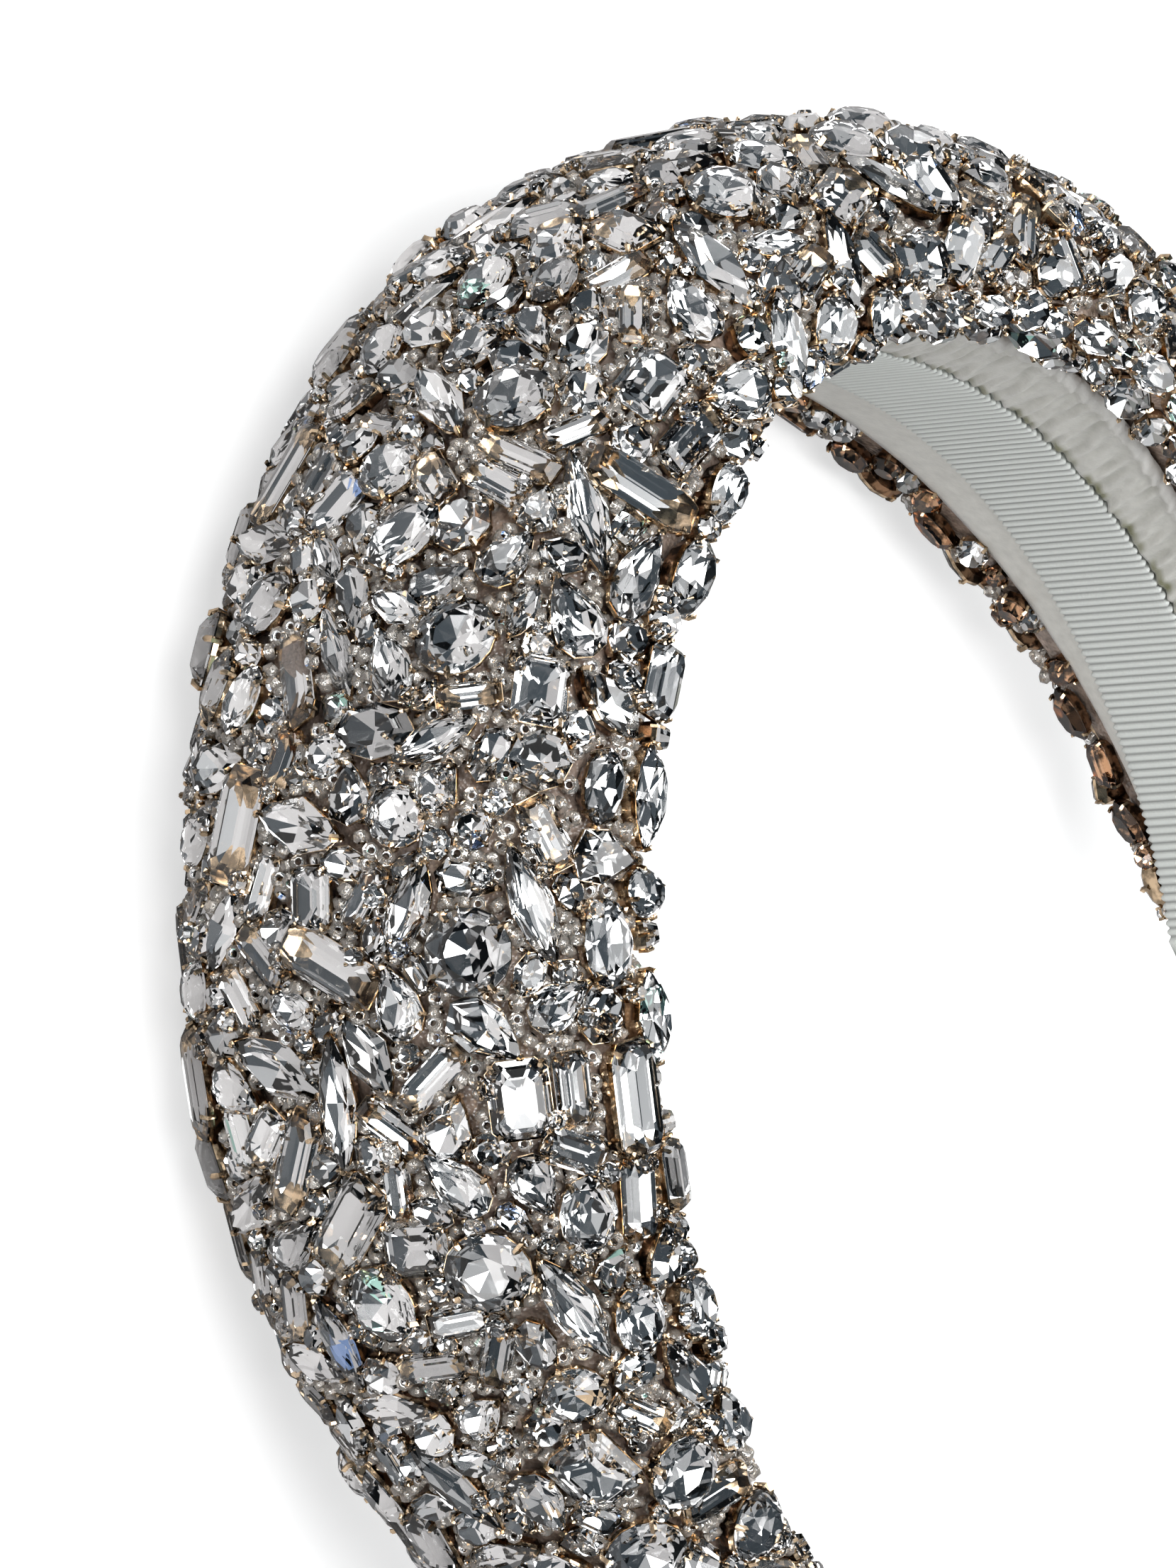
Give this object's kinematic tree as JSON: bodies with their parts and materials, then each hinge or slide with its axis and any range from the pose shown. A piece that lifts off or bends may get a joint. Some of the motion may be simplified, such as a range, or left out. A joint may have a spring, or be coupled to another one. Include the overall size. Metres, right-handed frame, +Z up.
{
  "type": "beaded headband",
  "caption": "Thick padded headband covered outside in claw-set clear crystals and seed beads, with a satin lining and a ribbon-wrapped stiff inner band.",
  "frame": {"origin": "middle of the band's bounding box, on the table that it lies on", "axes": "+X across the head from the left arm to the right arm, +Y towards the crown, +Z up from the back edge, which lies on the table, to the front edge"},
  "size_m": [0.1823, 0.1485, 0.0598],
  "materials": {
    "base_fabric": "nude tulle and felt over foam, matt",
    "lining_satin": "soft grey satin, gathered across",
    "ribbon": "ribbed grosgrain ribbon, pale grey",
    "crystal": "clear cut glass on a silver foil back",
    "setting_metal": "pale gold claw cups, polished"
  },
  "bodies": {
    "root": {"padding": "base_fabric", "lining": "lining_satin", "ribbon_band": "ribbon", "stone_01": "crystal", "stone_02": "crystal", "stone_03": "crystal", "stone_04": "crystal", "stone_05": "crystal", "stone_06": "crystal", "stone_07": "crystal", "stone_08": "crystal", "stone_09": "crystal", "stone_10": "crystal", "stone_11": "crystal", "stone_12": "crystal", "stone_13": "crystal", "stone_14": "crystal", "stone_15": "crystal", "stone_16": "crystal", "stone_17": "crystal", "stone_18": "crystal", "stone_19": "crystal", "stone_20": "crystal", "stone_21": "crystal", "stone_22": "crystal", "stone_23": "crystal", "stone_24": "crystal", "stone_25": "crystal", "stone_26": "crystal", "stone_27": "crystal", "stone_28": "crystal", "stone_29": "crystal", "stone_30": "crystal", "stone_31": "crystal", "stone_32": "crystal", "stone_33": "crystal", "stone_34": "crystal", "stone_35": "crystal", "stone_36": "crystal", "stone_37": "crystal", "stone_38": "crystal", "stone_39": "crystal", "stone_40": "crystal", "stone_field_left": "crystal", "stone_field_right": "crystal"}
  },
  "joints": []
}
